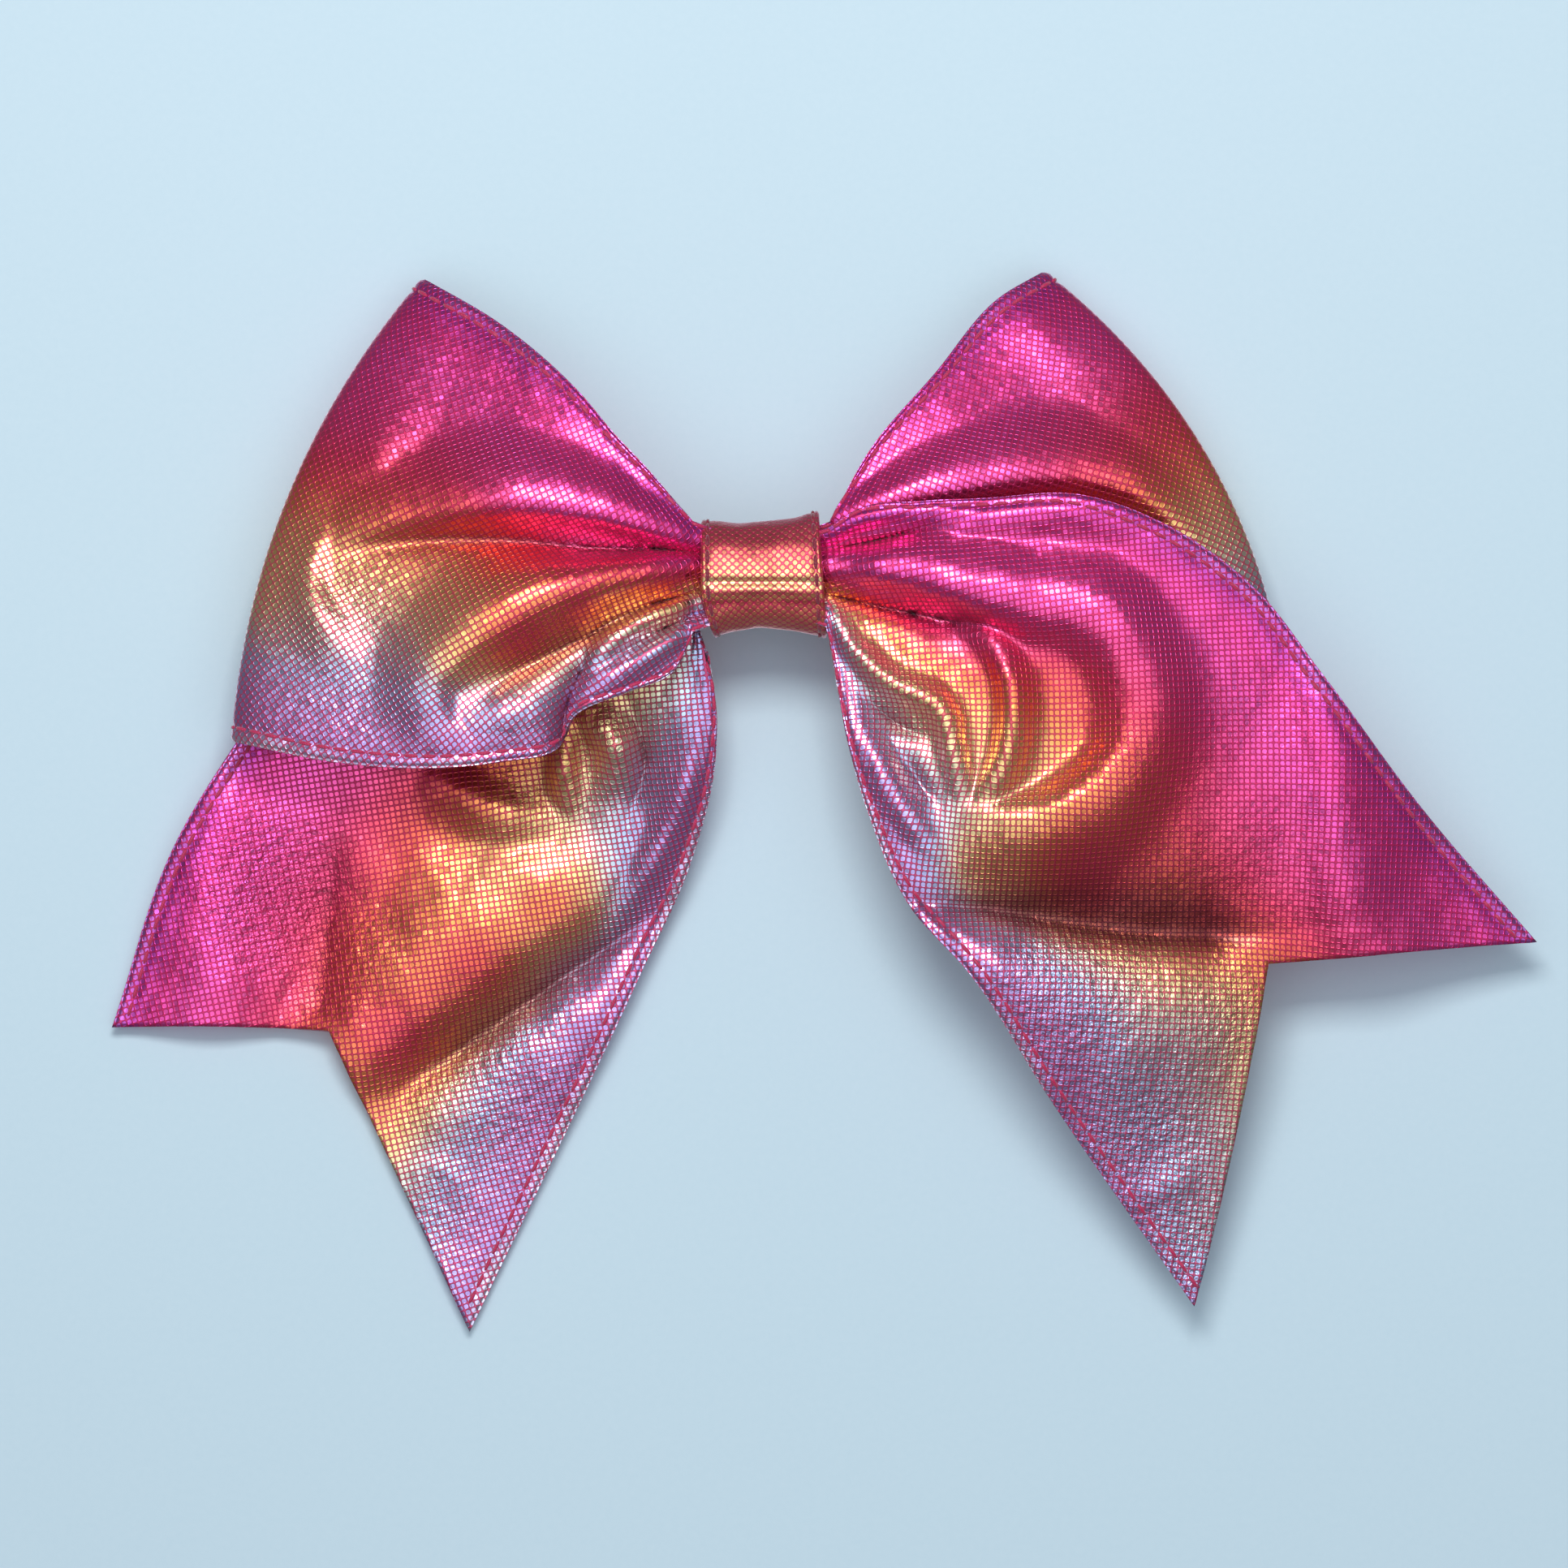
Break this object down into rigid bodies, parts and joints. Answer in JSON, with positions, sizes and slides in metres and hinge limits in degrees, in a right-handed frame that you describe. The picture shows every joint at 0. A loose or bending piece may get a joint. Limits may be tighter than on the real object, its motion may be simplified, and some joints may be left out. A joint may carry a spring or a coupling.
{
  "type": "cheer hair bow",
  "caption": "Large cheerleading hair bow of foil-dot ribbon with two loops and two swallow-tailed ends pinched in a knot, on a sprung steel hair clip.",
  "frame": {"origin": "on the rest plane, under the middle of the bow, with the bow lying on its back", "axes": "+Z out of the bow's face, +X to the right of the face, +Y to its top, away from the tails"},
  "size_m": [0.2186, 0.1632, 0.0298],
  "materials": {
    "front_cloth": "foil-dot knit",
    "back_cloth": "foil-dot knit",
    "wrap_cloth": "foil-dot knit",
    "thread": "matte",
    "clip_steel": "nickel plated",
    "spring_steel": "drawn wire",
    "glue": "hot glue"
  },
  "bodies": {
    "knot": {"knot_wrap": "wrap_cloth", "knot_wrap_stitching_left": "thread", "knot_wrap_stitching_right": "thread", "pinched_ribbon": "back_cloth", "gathering_thread": "thread", "clip_glue_pad": "glue", "clip_base": "clip_steel", "clip_pivot_pin": "clip_steel", "clip_spring": "spring_steel"},
    "left_loop": {"left_loop_front_ply": "front_cloth", "left_loop_back_ply": "back_cloth", "left_loop_topstitch_upper": "thread", "left_loop_topstitch_lower": "thread"},
    "right_loop": {"right_loop_back_ply": "back_cloth", "right_loop_front_ply": "front_cloth", "right_loop_topstitch_upper": "thread", "right_loop_topstitch_lower": "thread"},
    "left_tail": {"left_tail_front_ply": "front_cloth", "left_tail_back_ply": "back_cloth", "left_tail_topstitch_upper": "thread", "left_tail_topstitch_lower": "thread"},
    "right_tail": {"right_tail_front_ply": "front_cloth", "right_tail_back_ply": "back_cloth", "right_tail_topstitch_upper": "thread", "right_tail_topstitch_lower": "thread"},
    "clip_lever": {"clip_lever": "clip_steel"}
  },
  "joints": [
    {"name": "clip_hinge", "type": "hinge", "parent": "knot", "child": "clip_lever", "pos_m": [-0.0045, 0.034, 0.0059], "axis": [0, -1, 0], "range_deg": [0, 22], "stiffness_Nm_per_rad": 0.05, "deforming": ["clip_spring"]},
    {"name": "left_loop_lift", "type": "hinge", "parent": "knot", "child": "left_loop", "pos_m": [-0.0201, 0.034, 0.0252], "axis": [0, 1, 0], "range_deg": [0, 25], "stiffness_Nm_per_rad": 0.01},
    {"name": "right_loop_press", "type": "hinge", "parent": "knot", "child": "right_loop", "pos_m": [0.0011, 0.034, 0.014], "axis": [0, 1, 0], "range_deg": [0, 8], "stiffness_Nm_per_rad": 0.02},
    {"name": "left_tail_sway", "type": "hinge", "parent": "knot", "child": "left_tail", "pos_m": [-0.0095, 0.034, 0.0161], "axis": [0, 0, 1], "range_deg": [-8, 8], "stiffness_Nm_per_rad": 0.01},
    {"name": "right_tail_lift", "type": "hinge", "parent": "knot", "child": "right_tail", "pos_m": [0.0011, 0.034, 0.0252], "axis": [0, -1, 0], "range_deg": [0, 40], "stiffness_Nm_per_rad": 0.01}
  ]
}
